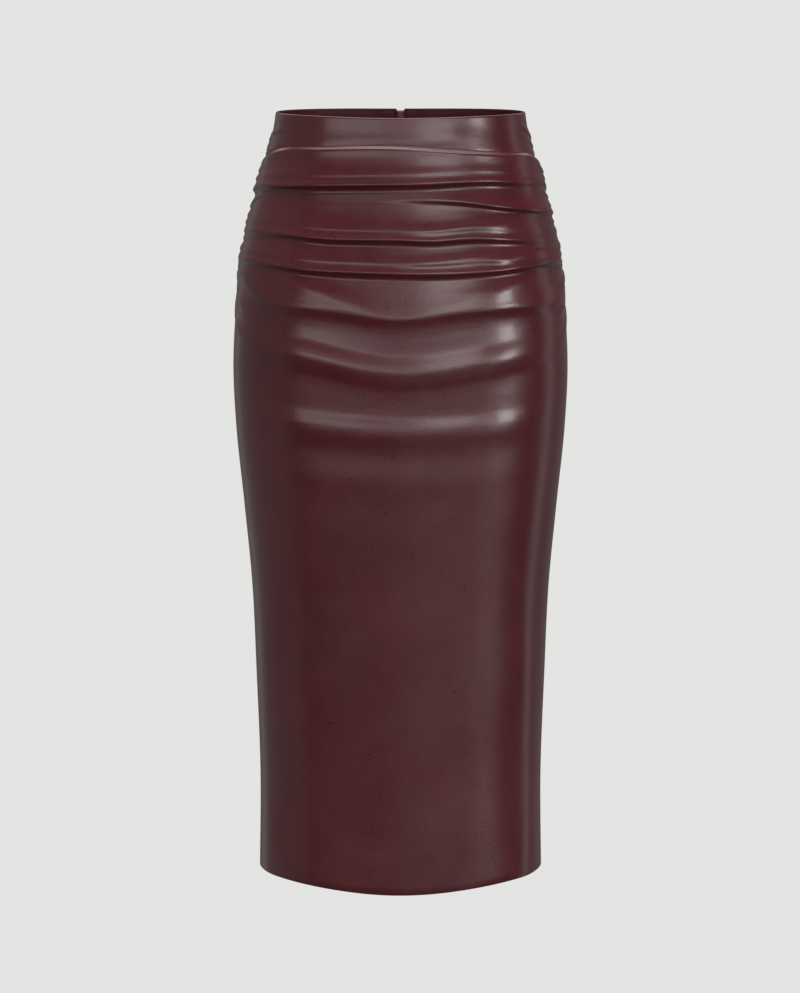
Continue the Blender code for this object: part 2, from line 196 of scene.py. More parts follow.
class Fold(Enum):
    """Shapes that a fold has across its length: millimetres below its crest, and the share of its height."""

    WELT = (
        (-34, -24, -15, -10.5, -8.5, -6.5, -3.6, -1.5, -0.3, 0.9, 2.2, 3.8, 5.6, 7.6, 11, 20),
        (0, 0.13, 0.40, 0.62, 0.69, 0.69, 0.78, 0.93, 1, 0.96, 0.78, 0.44, 0.10, -0.06, -0.05, 0),
    )
    STEP = (
        (-16, -8, -4.5, -2.6, -1.2, 0, 1.4, 4, 9, 16, 30),
        (0, -0.04, -0.16, -0.24, 0.30, 0.92, 1, 0.86, 0.55, 0.25, 0),
    )
    CREASE = (
        (-24, -14, -7, -3, -0.8, 0.6, 2.2, 4.2, 7, 12),
        (0, 0.16, 0.48, 0.84, 1, 0.9, 0.42, 0.02, -0.05, 0),
    )
    SWAG = (
        (-40, -26, -14, -6, -1, 1.5, 5, 10, 16, 28),
        (0, 0.22, 0.58, 0.88, 1, 0.95, 0.62, 0.2, 0.02, 0),
    )
    WAVE = (
        (-30, -20, -10, 0, 10, 20, 30),
        (0, 0.14, 0.68, 1, 0.68, 0.14, 0),
    )

    def share(self, below: Array) -> Array:
        """The share of the height at distances below the crest, in millimetres."""
        return curve_through(*self.value, below)


@dataclass(frozen=True)
class Crest:
    """A long fold. Rows of (station, drop, height) carry its crest, in degrees and millimetres.

    A station is the angle whose sine is the place's x over the body's half width there, with its sign; on
    the back it goes on from 90 at the seam to 180 at the centre. The cloth rises by the fold's shape times
    its height, and near the crest it also slides down by lean times the rise, so that the fold hangs over.
    """

    fold: Fold
    rows: tuple[tuple[float, float, float], ...]
    lean: float = 0.0
    squeeze: float = 1.0
    wave: float = 0.0

    def line(self, station: Array) -> tuple[Array, Array]:
        """Drop and height of the crest at stations, in millimetres."""
        stations, drops, heights = zip(*self.rows)
        drop = curve_through(stations, drops, station)
        drop = drop + self.wave * np.sin(station / 5.3 + drops[0]) * np.sin(station / 11 + 1)
        return drop, np.maximum(curve_through(stations, heights, station), 0)

    def rise(self, station: Array, drop: Array) -> tuple[Array, Array]:
        """The cloth's movement outwards and downwards at places on a panel, in millimetres."""
        line, height = self.line(station)
        below = (drop / MM - line) / self.squeeze
        share = self.fold.share(below + self.lean * height * 0.8)
        up = height * share
        return up, self.lean * height * bell(below / 3.2) * ease(share, 0.1, 0.9)


@dataclass(frozen=True)
class Swell:
    """A soft local hill or hollow: height * bell(along its length) * bell(across its width), slanted."""

    station: float
    drop: float
    height: float
    length: float
    width: float
    slant: float = 0.0

    def rise(self, station: Array, drop: Array) -> tuple[Array, Array]:
        """The cloth's movement outwards, and none downwards, in millimetres."""
        along = station - self.station
        across = drop / MM - self.drop - self.slant * along
        up = self.height * bell(along / self.length) * bell(across / self.width)
        return up, 0 * up


@dataclass(frozen=True)
class Gather:
    """A small tuck that starts in a side seam and runs out on the panel.

    Its crest goes from seam_drop at the seam to inner_drop over its reach in degrees of turn, flattening as
    it goes, and it fades over the second half of the reach.
    """

    seam_drop: float
    inner_drop: float
    reach: float
    height: float
    width: float = 2.4

    def rise(self, from_seam: Array, drop: Array) -> tuple[Array, Array]:
        """The cloth's movement outwards and downwards in millimetres, at degrees from the seam."""
        share = np.clip(from_seam / self.reach, 0, 1)
        line = self.inner_drop + (self.seam_drop - self.inner_drop) * (1 - share) ** 2
        fade = 1 - ease(share, 0.25, 1)
        t = drop / MM - line
        up = self.height * fade * bell(t / np.where(t < 0, 1.7 * self.width, self.width))
        return up, 0.35 * up


FRONT_CRESTS = (
    Crest(Fold.STEP, ((-90, 49, 2.4), (-74, 40, 2.4), (-60, 35, 1.8), (-37, 33, 1.6), (0, 32, 1.7), (18, 35, 2.0),
                      (48, 39, 2.0), (76, 43, 2.4), (90, 50, 2.6))),
    Crest(Fold.WELT, ((-90, 77, 3.2), (-77, 71, 3.8), (-60, 69, 4.2), (-20, 66, 4.2), (7, 65, 3.8), (35, 63, 3.0),
                      (60, 66, 2.6), (82, 68, 2.6), (90, 73, 2.8)), lean=0.22),
    Crest(Fold.CREASE, ((-90, 92, 0), (-30, 84, 0), (0, 81, 0.3), (22, 83, 2.2), (45, 90, 3.4), (66, 95, 3.4),
                        (82, 98, 3.2), (90, 100, 2.8)), lean=0.1),
    Crest(Fold.WELT, ((-90, 116, 2.6), (-81, 115, 2.8), (-49, 115, 3.2), (-28, 118, 4.0), (1, 119, 3.8),
                      (11, 120, 3.6), (26, 118, 3.2), (43, 120, 2.6), (57, 122, 1.8), (90, 121, 1.0)), lean=0.2),
    Crest(Fold.WELT, ((-90, 143, 2.8), (-59, 144, 3.2), (-32, 149, 4.0), (-8, 151, 3.8), (10, 152, 3.4),
                      (25, 151, 3.4), (41, 149, 3.6), (55, 146, 3.8), (81, 142, 3.4), (90, 139, 2.8)), lean=0.2),
    Crest(Fold.SWAG, ((-90, 157, 1.6), (-77, 161, 2.0), (-49, 183, 2.4), (-37, 185, 2.6), (-22, 189, 2.6),
                      (0, 196, 2.4), (19, 190, 2.8), (40, 186, 3.2), (61, 184, 3.2), (83, 175, 2.6), (90, 168, 2.0))),
)

FRONT_WAVES = (
    Crest(Fold.WAVE, ((-8, 111, 0), (6, 112, 0.5), (21, 108, 0.7), (44, 102, 0.9), (59, 98, 0)), squeeze=0.28, wave=0.6),
    Crest(Fold.WAVE, ((-6, 142, 0), (6, 142, 0.5), (20, 138, 0.7), (31, 137, 0.8), (42, 142, 0.6), (54, 147, 0)),
          squeeze=0.28, wave=0.6),
    Crest(Fold.WAVE, ((-80, 222, 0), (-58, 226, 1.2), (-36, 233, 2.8), (0, 250, 2.4), (33, 239, 2.6),
                      (58, 228, 1.6), (80, 222, 0)), squeeze=0.85),
    Crest(Fold.WAVE, ((-70, 290, 0), (-50, 297, 1.3), (-20, 306, 2.0), (0, 309, 2.0), (30, 306, 1.8), (55, 298, 0.6),
                      (75, 290, 0)), squeeze=0.8),
    Crest(Fold.WAVE, ((-60, 350, 0), (-30, 352, 0.5), (10, 356, 0.6), (50, 350, 0)), squeeze=1.0),
)

FRONT_SWELLS = (
    Swell(22, 20, 0.8, 14, 9),
    Swell(-30, 170, 1.4, 16, 9, 0.75),
    Swell(42, 166, 1.6, 17, 10, -0.6),
    Swell(44, 108, 1.0, 12, 5, -0.2),
    Swell(48, 136, 0.8, 12, 5),
)

FRONT_GATHERS = {
    Side.LEFT: (
        Gather(27, 15, 26, 1.6, 2.2),
        Gather(33, 37, 13, 1.6, 2),
        Gather(41, 35, 20, 1.3, 2),
        Gather(58, 53, 16, 1.4, 2),
        Gather(66, 62, 10, 1.3, 2),
        Gather(93, 81, 17, 2.0, 2),
        Gather(102, 97, 11, 1.6, 2.2),
        Gather(109, 106, 9, 1.4, 2),
        Gather(124, 124, 12, 1.6, 2.2),
        Gather(134, 135, 9, 1.4, 2),
        Gather(149, 160, 24, 1.7, 2.2),
        Gather(159, 176, 16, 1.4, 2.4),
        Gather(170, 196, 24, 1.3, 2.8),
        Gather(186, 224, 20, 1.3, 3.4),
    ),
    Side.RIGHT: (
        Gather(25, 13, 22, 1.7, 2.2),
        Gather(34, 27, 14, 1.2, 2),
        Gather(59, 52, 14, 1.6, 2),
        Gather(66, 64, 10, 1.2, 2),
        Gather(84, 77, 16, 1.8, 2),
        Gather(92, 90, 9, 1.3, 2),
        Gather(108, 107, 14, 1.6, 2.2),
        Gather(116, 118, 10, 1.4, 2),
        Gather(130, 137, 15, 1.7, 2.2),
        Gather(151, 153, 14, 1.6, 2.2),
        Gather(159, 172, 14, 1.4, 2.4),
        Gather(180, 202, 22, 1.3, 3),
        Gather(197, 232, 18, 1.2, 3.8),
    ),
}

# The back is ruched in the same way, and its folds run out before the zip.
BACK_CRESTS = {
    Side.LEFT: (
        Crest(Fold.STEP, ((90, 49, 2.4), (120, 43, 2.2), (150, 45, 1.2), (172, 47, 0))),
        Crest(Fold.WELT, ((90, 77, 3.2), (112, 81, 3.6), (140, 86, 2.8), (170, 88, 0.4), (180, 88, 0)), lean=0.2),
        Crest(Fold.WELT, ((90, 116, 2.6), (116, 121, 3.6), (144, 127, 2.6), (170, 129, 0.4), (180, 129, 0)), lean=0.2),
        Crest(Fold.WELT, ((90, 143, 2.8), (115, 156, 3.2), (140, 168, 2.6), (168, 172, 0.5), (180, 172, 0)), lean=0.2),
        Crest(Fold.SWAG, ((90, 157, 1.6), (110, 182, 2), (135, 202, 1.8), (165, 208, 0), (180, 208, 0))),
    ),
    Side.RIGHT: (
        Crest(Fold.STEP, ((90, 50, 2.6), (116, 46, 2.2), (145, 44, 1.2), (172, 46, 0))),
        Crest(Fold.WELT, ((90, 73, 2.8), (115, 76, 3.4), (140, 82, 2.6), (168, 84, 0.3), (180, 84, 0)), lean=0.2),
        Crest(Fold.CREASE, ((90, 100, 2.8), (110, 101, 2.8), (132, 106, 1.2), (150, 108, 0), (180, 108, 0)), lean=0.1),
        Crest(Fold.WELT, ((90, 124, 2), (112, 132, 3.4), (142, 138, 2.6), (168, 139, 0.4), (180, 139, 0)), lean=0.2),
        Crest(Fold.WELT, ((90, 143, 2.8), (108, 156, 3.0), (135, 170, 2.6), (166, 176, 0.4), (180, 176, 0)), lean=0.2),
        Crest(Fold.SWAG, ((90, 168, 2), (112, 190, 2), (136, 208, 1.7), (166, 214, 0), (180, 214, 0))),
    ),
}


@dataclass(frozen=True)
class SeamTucks:
    """Small gathers drawn for a back seam, at uneven steps down it."""

    seed: int
    first: float = 24.0
    last: float = 196.0
    step: float = 10.5

    def gathers(self) -> tuple[Gather, ...]:
        """The gathers: their place, slope, reach and height vary, and they fan out from mid-hip."""
        rng = np.random.default_rng(self.seed)
        count = int((self.last - self.first) / self.step)
        drops = self.first + self.step * (np.arange(count) + rng.uniform(-0.25, 0.25, count))
        slopes = (drops - 100) * 0.15 + rng.uniform(-2, 2, count)
        reaches = rng.uniform(9, 24, count)
        heights = rng.uniform(1.1, 2.1, count)
        widths = rng.uniform(1.9, 2.8, count)
        rows = zip(drops, slopes, reaches, heights, widths)
        return tuple(Gather(drop, drop + slope, reach, height, width) for drop, slope, reach, height, width in rows)


BACK_TUCKS = {Side.LEFT: SeamTucks(4).gathers(), Side.RIGHT: SeamTucks(9).gathers()}


def station_of(turn: Array, drop: Array) -> Array:
    """Station of places on the body: the angle whose sine is x over the half width, as Crest counts it."""
    half_width = FORM.size("half_width", drop)
    share = np.clip(np.abs(FORM.points(turn, drop, 0)[..., 0]) / half_width, 0, 1)
    angle = np.degrees(np.arcsin(share))
    return np.where(np.abs(turn) > 90, 180 - angle, angle) * np.where(turn < 0, -1, 1)


def total(moves: Sequence[tuple[Array, Array]]) -> tuple[Array, Array]:
    """The sums of movements outwards and downwards, turned from millimetres into metres."""
    return sum(move[0] for move in moves) * MM, sum(move[1] for move in moves) * MM


def front_relief(turn: Array, drop: Array) -> tuple[Array, Array]:
    """How far the front cloth stands off the body form, and how far it slides down.

    Args:
        turn: Turns on the front.
        drop: Drops, of the same shape.

    Returns:
        The two movements, in metres.
    """
    station = station_of(turn, drop)
    moves = [shape.rise(station, drop) for shape in FRONT_CRESTS + FRONT_WAVES + FRONT_SWELLS]
    for side, gathers in FRONT_GATHERS.items():
        from_seam = np.abs(FORM.seam_turn(drop) - side.value * turn)
        moves += [gather.rise(from_seam, drop) for gather in gathers]
    moves.append(lower_waves(station, drop))
    return total(moves)


def lower_waves(station: Array, drop: Array) -> tuple[Array, Array]:
    """Long soft upright and slanted waves of the lower skirt, a millimetre or less high, in millimetres."""
    lower = ease(drop, 0.4, 0.56)
    up = 0.9 * bell((station - 60 - 5 * np.sin((drop - 0.55) / 0.075)) / 9) * lower
    up += 0.7 * bell((station + 66 + 4 * np.sin((drop - 0.5) / 0.08)) / 8) * lower
    slanted = station * 0.8 + (drop / MM - 640) * 0.25
    up += 0.3 * np.sin(slanted / 9) * bell((np.abs(station) - 62) / 16) * ease(drop, 0.55, 0.68)
    up += 0.25 * np.sin(drop / 0.019 + station / 13) * bell((station - 8) / 26) * ease(drop, 0.4, 0.5)
    return up, 0 * up


def back_relief(side: Side, turn: Array, drop: Array, join: float = 7.0) -> tuple[Array, Array]:
    """Relief of a back panel. At the side seam it starts as the front ends, and it is its own after join.

    Args:
        side: Side of the panel.
        turn: Turns on the panel.
        drop: Drops, of the same shape.
        join: Degrees from the seam over which the front's relief gives way.

    Returns:
        The movements outwards and downwards, in metres.
    """
    seam = FORM.seam_turn(drop)
    from_seam = np.abs(turn) - seam
    station = np.abs(station_of(turn, drop))
    moves = [crest.rise(station, drop) for crest in BACK_CRESTS[side]]
    out, down = total(moves + [gather.rise(from_seam, drop) for gather in BACK_TUCKS[side]])
    joined_out, joined_down = front_relief(side.value * seam, drop)
    share = ease(from_seam, 0, join)
    return joined_out + share * (out - joined_out), joined_down + share * (down - joined_down)


# ---------------------------------------------------------------------------------------------------------
# Meshes


def add_mesh(name: str, points: Array, faces: list[Sequence[int]], finishes: Sequence[bpy.types.Material],
             slots: Array | None = None, smooth_below: float = 40.0) -> bpy.types.Object:
    """Makes a mesh object from points and faces.

    Args:
        name: Name of the piece.
        points: Points in metres, one row each.
        faces: Point numbers of each face.
        finishes: Materials of the piece.
        slots: Material number of each face, if there are several.
        smooth_below: Angle in degrees above which an edge stays sharp.

    Returns:
        The new object, at the origin.
    """
    mesh = bpy.data.meshes.new(name)
    mesh.from_pydata(points.tolist(), [], faces)
    for finish in finishes:
        mesh.materials.append(finish)
    if slots is not None:
        mesh.polygons.foreach_set("material_index", slots.astype(np.int32))
    mesh.shade_smooth()
    mesh.set_sharp_from_angle(angle=math.radians(smooth_below))
    made = bpy.data.objects.new(name, mesh)
    bpy.context.scene.collection.objects.link(made)
    return made


def grid_faces(rows: int, columns: int, first: int = 0, flip: bool = False) -> Array:
    """Quads of a grid of points numbered row by row, as an array with four columns."""
    corner = first + (np.arange(rows - 1)[:, None] * columns + np.arange(columns - 1)).ravel()
    quads = np.stack([corner, corner + columns, corner + columns + 1, corner + 1], axis=1)
    return quads[:, ::-1] if flip else quads


def rim(rows: int, columns: int, step: int) -> Array:
    """Numbers of the points round the edge of a grid, in order, taking each step-th one."""
    numbers = np.arange(rows * columns).reshape(rows, columns)[::step, ::step]
    return np.concatenate([numbers[0, :-1], numbers[:-1, -1], numbers[-1, :0:-1], numbers[:0:-1, 0]])


@dataclass(frozen=True)
class Wall:
    """A closed wall of cloth: a fine outer grid, a coarser inner one and a rim that joins them.

    The inner grid has every coarse-th row and column of the outer one. Each rim face takes one edge of the
    inner grid and the outer edges that lie along it.
    """

    outer: Array
    inner: Array
    coarse: int = 3

    def build(self, name: str, finishes: Sequence[bpy.types.Material], turned: bool) -> bpy.types.Object:
        """Makes the wall.

        Args:
            name: Name of the piece.
            finishes: Material of the outer face and rim, and that of the inner face if it differs.
            turned: True if the grid's columns run against the turn, so that its faces are reversed.

        Returns:
            The new object.
        """
        rows, columns = self.outer.shape[:2]
        few_rows, few_columns = self.inner.shape[:2]
        fine = grid_faces(rows, columns, flip=turned)
        plain = grid_faces(few_rows, few_columns, first=rows * columns, flip=not turned)
        outer_rim = rim(rows, columns, 1)
        inner_rim = rows * columns + rim(few_rows, few_columns, 1)
        along = np.arange(len(inner_rim))[:, None] * self.coarse + np.arange(self.coarse + 1)
        outer_side = outer_rim[along % len(outer_rim)]
        inner_side = np.stack([np.roll(inner_rim, -1), inner_rim], axis=1)
        strips = np.concatenate([outer_side, inner_side], axis=1)
        if turned:
            strips = strips[:, ::-1]
        faces = fine.tolist() + plain.tolist() + strips.tolist()
        slots = np.zeros(len(faces), int)
        slots[len(fine):len(fine) + len(plain)] = len(finishes) - 1
        points = np.concatenate([self.outer.reshape(-1, 3), self.inner.reshape(-1, 3)])
        return add_mesh(name, points, faces, finishes, slots)


def edge_roll(radius: float, spans: int = 3) -> tuple[Array, Array]:
    """A turned edge as a quarter round: distance from the edge, and how far in the cloth is drawn there."""
    angle = np.linspace(0, math.pi / 2, spans + 1)[:-1]
    return radius * (1 - np.cos(angle)), radius * (1 - np.sin(angle))


def lowest_near(values: Array, coarse: int) -> Array:
    """The lowest value within coarse points of each coarse-th point of a grid."""
    reach = coarse + 2
    padded = np.pad(values, reach, mode="edge")
    windows = np.lib.stride_tricks.sliding_window_view(padded, (2 * reach + 1, 2 * reach + 1))
    return windows[::coarse, ::coarse].min(axis=(2, 3))


@dataclass(frozen=True)
class FoldRows:
    """Rows of a panel from waist to hem, which run along its crests and lie closest together there."""

    crests: tuple[Crest, ...]
    above: float = 11.0
    below: float = 8.0
    least: float = 1.5
    smooth_from: float = 300.0
    at_crest: float = 0.75
    between: float = 1.4
    in_swells: float = 2.6
    lower: float = 6.8

    def lines(self, station: Array) -> Array:
        """Drops of the lines that bound the bands of rows, in millimetres, at stations in one row."""
        lines = [0 * station]
        for crest in self.crests:
            drop = crest.line(station)[0]
            lines += [drop - self.above, drop + self.below]
        lines.append(0 * station + self.smooth_from)
        for k in range(1, len(lines)):
            lines[k] = np.maximum(lines[k], lines[k - 1] + self.least)
        return np.array(lines)

    def counts(self, length: float) -> list[int]:
        """Number of rows in each band, by its mean height and the step wanted there."""
        station = np.linspace(*((-88, 88) if self.crests[0].rows[0][0] < 0 else (92, 178)), 40)
        heights = np.diff(self.lines(station), axis=0).mean(axis=1)
        steps = [self.between if k % 2 == 0 else self.at_crest for k in range(len(heights))]
        steps[-1] = self.in_swells
        counts = [max(2, round(height / step)) for height, step in zip(heights, steps)]
        return counts + [round((length - self.smooth_from) / self.lower)]

    def drops(self, station: Array, top: Array, end: Array, counts: Sequence[int]) -> Array:
        """Drops of every row at each column's station.

        Args:
            station: Station of each point, a row for each row of the panel.
            top: Drop of the first row, below the waist's roll, by column.
            end: Drop of the last row, above the hem's roll, by column.
            counts: Rows in each band.

        Returns:
            Drops in metres, of station's shape.
        """
        drops = []
        row = 0
        for band, count in enumerate(counts):
            share = (np.arange(count) / count)[:, None]
            here = station[row:row + count]
            lines = self.lines(here.ravel()) * MM
            low = lines[band].reshape(here.shape) if band else 0 * here
            low = np.maximum(low, top) if band else here * 0 + top
            high = end if band == len(counts) - 1 else np.maximum(lines[band + 1].reshape(here.shape), top)
            drops.append(low + share * (high - low))
            row += count
        drops.append(end + 0 * station[-1:])
        return np.concatenate(drops)


@dataclass(frozen=True)
class PanelCut:
    """Where a panel lies: its two cut edges as turns, and the body's radius at each, by drop."""

    start: Callable[[Array], Array]
    end: Callable[[Array], Array]
    start_radius: Callable[[Array], Array]
    end_radius: Callable[[Array], Array]
    start_roll: float
    end_roll: float
    spans: int
    roll_spans: int = 3

    def inward(self) -> Array:
        """How far the rolled edges draw the cloth in, by column."""
        flat = np.zeros(self.spans + 1)
        return np.concatenate([edge_roll(self.start_roll)[1], flat, edge_roll(self.end_roll)[1][::-1]])

    def turns(self, drop: Array) -> Array:
        """Turns of every column at the points' own drops, in an array of the same shape."""
        near = edge_roll(self.start_roll)[0]
        far = edge_roll(self.end_roll)[0][::-1]
        start = self.start(drop)
        end = self.end(drop)
        sign = np.sign(end - start)
        start_step = sign * np.degrees(1 / self.start_radius(drop))
        end_step = sign * np.degrees(1 / self.end_radius(drop))
        share = np.linspace(0, 1, self.spans + 1)
        share = np.concatenate([0 * near, share, 0 * far + 1])
        from_start = np.concatenate([near, np.full(self.spans + 1, self.start_roll), 0 * far])
        from_end = np.concatenate([0 * near, np.full(self.spans + 1, self.end_roll), far])
        low = start + from_start * start_step
        high = end - from_end * end_step
        return low + share * (high - low)


# ---------------------------------------------------------------------------------------------------------
# Shader maths


@dataclass(frozen=True)
class Value:
    """A number that varies over a surface. Its operators add Math nodes."""

    book: "NodeBook"
    socket: bpy.types.NodeSocket

    def _math(self, operation: str, *terms: Any) -> "Value":
        """A Math node on these terms."""
        made = self.book.node("ShaderNodeMath", {"operation": operation}, dict(enumerate(terms)))
        return Value(self.book, made.outputs[0])

    def __add__(self, other: Any) -> "Value":
        """self + other."""
        return self._math("ADD", self, other)

    def __sub__(self, other: Any) -> "Value":
        """self - other."""
        return self._math("SUBTRACT", self, other)

    def __rsub__(self, other: Any) -> "Value":
        """other - self."""
        return self._math("SUBTRACT", other, self)

    def __mul__(self, other: Any) -> "Value":
        """self * other."""
        return self._math("MULTIPLY", self, other)

    def __truediv__(self, other: Any) -> "Value":
        """self / other."""
        return self._math("DIVIDE", self, other)

    def __neg__(self) -> "Value":
        """-self."""
        return self._math("MULTIPLY", self, -1)

    __radd__ = __add__
    __rmul__ = __mul__

    def at_least(self, low: float) -> "Value":
        """The larger of this and low."""
        return self._math("MAXIMUM", self, low)

    def direction_with(self, other: "Value") -> "Value":
        """The angle of the point (other, self), in radians."""
        return self._math("ARCTAN2", self, other)

    def step(self, low: float, high: float) -> "Value":
        """0 below low, 1 above high and a smooth step between."""
        values = {"Value": self, "From Min": low, "From Max": high}
        made = self.book.node("ShaderNodeMapRange", {"interpolation_type": "SMOOTHSTEP"}, values)
        return Value(self.book, made.outputs["Result"])

    def within(self, low: float, high: float, edge: float) -> "Value":
        """1 between low and high, with soft edges that reach edge to both sides of each."""
        return self.step(low - edge, low + edge) * (1 - self.step(high - edge, high + edge))


class NodeBook:
    """Adds nodes to one tree."""

    def __init__(self, tree: bpy.types.NodeTree) -> None:
        """Starts on an empty tree."""
        self.tree = tree
        tree.nodes.clear()

    def node(self, kind: str, settings: dict[str, Any] | None = None,
             inputs: dict[Any, Any] | None = None) -> bpy.types.Node:
        """Adds a node.

        Args:
            kind: Blender's name of the node's type.
            settings: Properties, which are set first.
            inputs: Value or link of each socket, by its name or number.

        Returns:
            The node.
        """
        made = self.tree.nodes.new(kind)
        for name, setting in (settings or {}).items():
            setattr(made, name, setting)
        for name, given in (inputs or {}).items():
            source = given.socket if isinstance(given, Value) else given
            if isinstance(source, bpy.types.NodeSocket):
                self.tree.links.new(source, made.inputs[name])
            else:
                made.inputs[name].default_value = source
        return made

    def value(self, node: bpy.types.Node, output: str) -> Value:
        """One output of a node as a value."""
        return Value(self, node.outputs[output])

    def place(self) -> bpy.types.NodeSocket:
        """The object's own coordinates, in metres."""
        return self.node("ShaderNodeTexCoord").outputs["Object"]

    def noise(self, place: Any, scale: float, detail: float = 2.0, roughness: float = 0.5) -> Value:
        """Soft noise about 0.5, with a scale in waves a metre."""
        values = {"Vector": place, "Scale": scale, "Detail": detail, "Roughness": roughness}
        return self.value(self.node("ShaderNodeTexNoise", {}, values), "Fac")

    def cells(self, place: Any, scale: float, feature: str = "F1", smooth: float = 0.0) -> Value:
        """Distance in a pattern of cells, with a scale in cells a metre."""
        values = {"Vector": place, "Scale": scale}
        if feature == "SMOOTH_F1":
            values["Smoothness"] = smooth
        return self.value(self.node("ShaderNodeTexVoronoi", {"feature": feature}, values), "Distance")

    def colour(self, amount: Value, low: Sequence[float], high: Sequence[float]) -> bpy.types.NodeSocket:
        """A colour from low to high by an amount."""
        values = {"Factor": amount, "A": (*low, 1), "B": (*high, 1)}
        made = self.node("ShaderNodeMix", {"data_type": "RGBA"})
        for name, given in values.items():
            sockets = [s for s in made.inputs if s.name == name and s.enabled]
            if isinstance(given, Value):
                self.tree.links.new(given.socket, sockets[0])
            else:
                sockets[0].default_value = given
        return [s for s in made.outputs if s.enabled][0]

    def bump(self, height: Value, distance: float, strength: float = 1.0,
             before: bpy.types.NodeSocket | None = None) -> bpy.types.NodeSocket:
        """A normal bumped by a height, on top of an earlier one."""
        values = {"Height": height, "Distance": distance, "Strength": strength}
        if before is not None:
            values["Normal"] = before
        return self.node("ShaderNodeBump", {}, values).outputs["Normal"]


def new_material(name: str) -> tuple[bpy.types.Material, NodeBook]:
    """An empty material and the book of its tree."""
    material = bpy.data.materials.new(name)
    material.use_nodes = True
    return material, NodeBook(material.node_tree)


def principled(book: NodeBook, inputs: dict[str, Any]) -> None:
    """Ends a material's tree in a Principled shader with these inputs."""
    shader = book.node("ShaderNodeBsdfPrincipled", {}, inputs)
    book.node("ShaderNodeOutputMaterial", {}, {"Surface": shader.outputs["BSDF"]})


@dataclass(frozen=True)
class Leather:
    """Smooth coated leather: fine pebbled grain, slight cloudiness in colour and gloss."""

    name: str = "burgundy_leather"
    dark: tuple[float, float, float] = (0.067, 0.0085, 0.0125)
    light: tuple[float, float, float] = (0.084, 0.012, 0.0172)
    roughness: float = 0.3
    coat: float = 0.2
    grain: float = 800.0

    def build(self) -> bpy.types.Material:
        """Makes the material."""
        material, book = new_material(self.name)
        place = book.place()
        cloud = book.noise(place, 9, 3, 0.55)
        mottle = book.noise(place, 46, 3, 0.6)
        tone = (cloud * 0.65 + mottle * 0.35).step(0.32, 0.68)
        pebbles = 1 - book.cells(place, self.grain)
        pores = book.noise(place, 2.6 * self.grain, 2, 0.6)
        skin = book.noise(place, 150, 4, 0.6)
        relief = book.bump(skin, 0.00035, 0.35)
        relief = book.bump(pebbles + pores * 0.4, 0.00009, 0.55, relief)
        gloss = self.roughness + (mottle - 0.5) * 0.12 + (book.noise(place, 420, 2) - 0.5) * 0.05
        principled(book, {
            "Base Color": book.colour(tone, self.dark, self.light),
            "Roughness": gloss,
            "Coat Weight": self.coat,
            "Coat Roughness": 0.14,
            "IOR": 1.5,
            "Normal": relief,
        })
        return material


@dataclass(frozen=True)
class KnitBacking:
    """The matt knitted back of coated cloth: fine wales in the cloth's own colour."""

    name: str = "burgundy_knit_backing"
    wales: float = 900.0

    def build(self) -> bpy.types.Material:
        """Makes the material."""
        material, book = new_material(self.name)
        place = book.place()
        loops = book.cells(place, self.wales, "F1")
        fuzz = book.noise(place, 2200, 2)
        tone = (loops * 1.2 + fuzz * 0.4).step(0.2, 1.1)
        principled(book, {
            "Base Color": book.colour(tone, (0.05, 0.012, 0.016), (0.085, 0.024, 0.03)),
            "Roughness": 0.9,
            "Normal": book.bump(loops + fuzz * 0.3, 0.0002, 0.6),
        })
        return material


@dataclass(frozen=True)
class TapeWeave:
    """Woven zip tape with a fine rib."""

    name: str = "burgundy_zip_tape"

    def build(self) -> bpy.types.Material:
        """Makes the material."""
        material, book = new_material(self.name)
        place = book.place()
        wave = {"Vector": place, "Scale": 260, "Distortion": 0.3}
        rib = book.value(book.node("ShaderNodeTexWave", {"bands_direction": "Z"}, wave), "Fac")
        tone = rib * 0.6 + book.noise(place, 1500, 2) * 0.4
        principled(book, {
            "Base Color": book.colour(tone, (0.04, 0.009, 0.013), (0.07, 0.018, 0.024)),
            "Roughness": 0.8,
            "Normal": book.bump(rib, 0.00015, 0.6),
        })
        return material


@dataclass(frozen=True)
class Lacquer:
    """Glossy lacquer over die-cast metal, faintly uneven."""

    name: str = "burgundy_lacquer"

    def build(self) -> bpy.types.Material:
        """Makes the material."""
        material, book = new_material(self.name)
        place = book.place()
        cloud = book.noise(place, 700, 3)
        principled(book, {
            "Base Color": book.colour(cloud, (0.085, 0.012, 0.02), (0.12, 0.022, 0.032)),
            "Roughness": 0.24 + cloud * 0.08,
            "Coat Weight": 0.5,
            "Coat Roughness": 0.08,
            "Normal": book.bump(cloud, 0.00008, 0.3),
        })
        return material


@dataclass(frozen=True)
class Thread:
    """Twisted sewing thread."""

    name: str = "burgundy_thread"

    def build(self) -> bpy.types.Material:
        """Makes the material."""
        material, book = new_material(self.name)
        place = book.place()
        twist = {"Vector": place, "Scale": 1200, "Distortion": 1.0}
        strand = book.value(book.node("ShaderNodeTexWave", {"bands_direction": "DIAGONAL"}, twist), "Fac")
        principled(book, {
            "Base Color": book.colour(strand, (0.05, 0.008, 0.014), (0.13, 0.03, 0.042)),
            "Roughness": 0.5,
            "Normal": book.bump(strand, 0.00006, 0.7),
        })
        return material


@dataclass(frozen=True)
class Finishes:
    """The materials of the skirt."""

    leather: bpy.types.Material
    facing: bpy.types.Material
    backing: bpy.types.Material
    tape: bpy.types.Material
    lacquer: bpy.types.Material
    thread: bpy.types.Material

    @classmethod
    def build(cls) -> "Finishes":
        """Makes every material."""
        facing = Leather("burgundy_facing_leather", (0.06, 0.0085, 0.0125), (0.08, 0.012, 0.017), 0.36)
        parts = (Leather(), facing, KnitBacking(), TapeWeave(), Lacquer(), Thread())
        return cls(*(part.build() for part in parts))


# ---------------------------------------------------------------------------------------------------------
# Sub-assemblies


